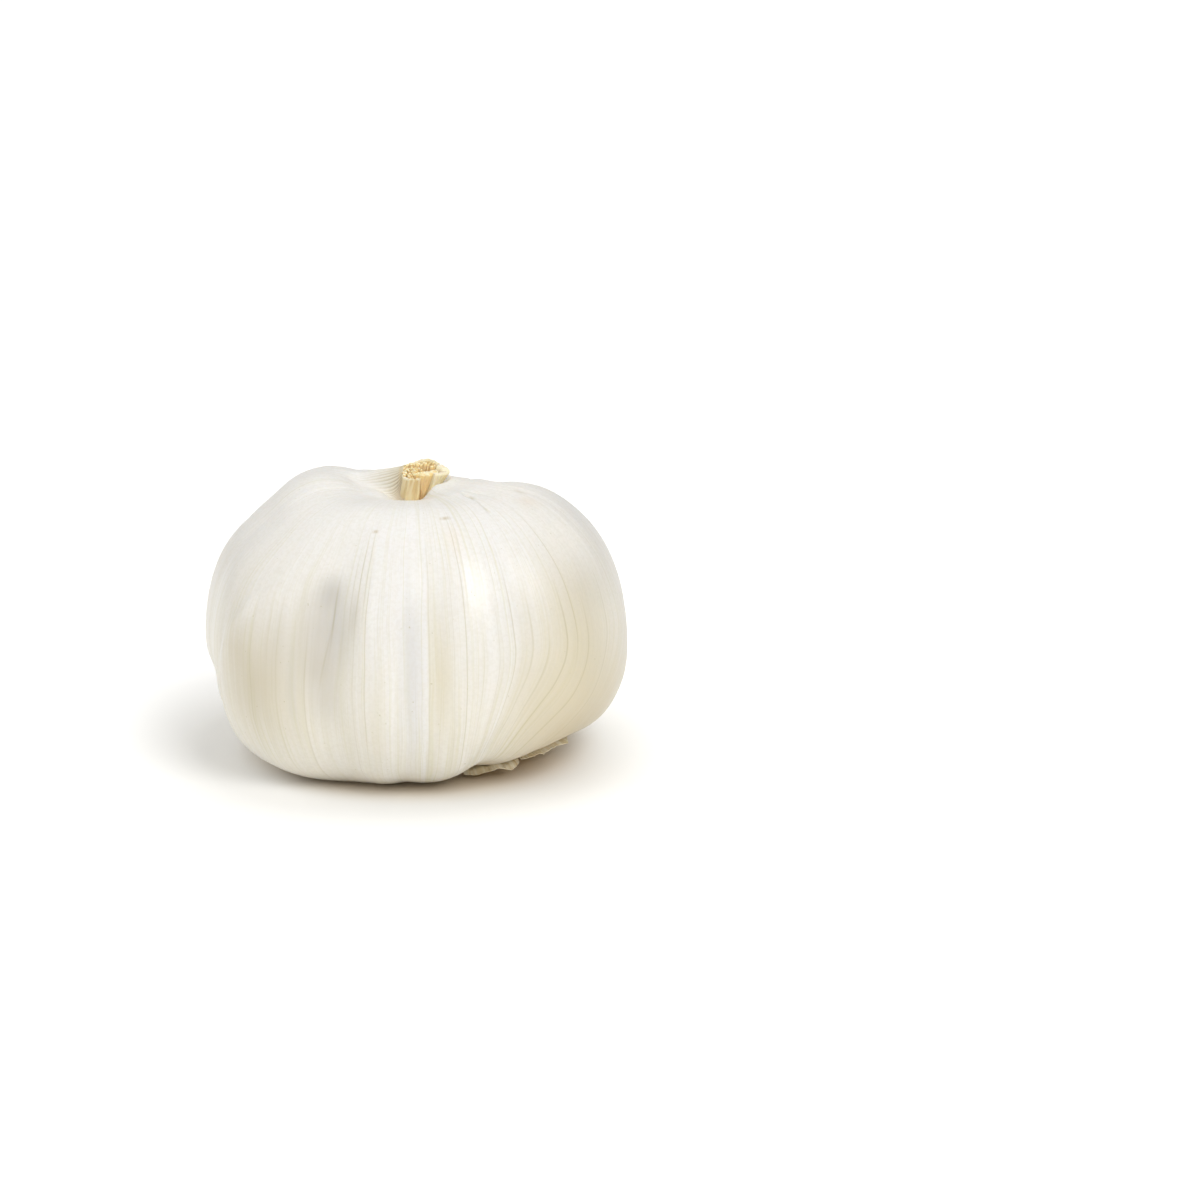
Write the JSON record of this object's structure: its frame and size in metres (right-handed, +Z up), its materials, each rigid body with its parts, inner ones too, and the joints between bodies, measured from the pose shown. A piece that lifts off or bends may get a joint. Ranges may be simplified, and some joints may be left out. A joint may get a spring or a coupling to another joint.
{
  "type": "garlic bulb",
  "caption": "Whole bulb of white garlic: plump cloves closed in papery skins, a short cut neck on top, and a flat corky root plate that it stands on.",
  "frame": {"origin": "on the table, under the middle of the bulb's box", "axes": "+Z up, from the root plate to the neck; -Y towards the front, the side with the grey dent; +X to the bulb's right, the way the cut neck leans"},
  "size_m": [0.061, 0.0582, 0.0428],
  "materials": {
    "paper_skin": "satin",
    "torn_skin": "matte",
    "leaf_sheath": "matte",
    "stalk_fibre": "matte",
    "corky_root": "matte"
  },
  "bodies": {
    "root": {"bulb": "paper_skin", "stem_core": "stalk_fibre", "back_sheath": "leaf_sheath", "front_sheath": "leaf_sheath", "right_sheath": "leaf_sheath", "root_plate": "corky_root", "skin_flake_front": "torn_skin", "skin_flake_side": "torn_skin"}
  },
  "joints": []
}
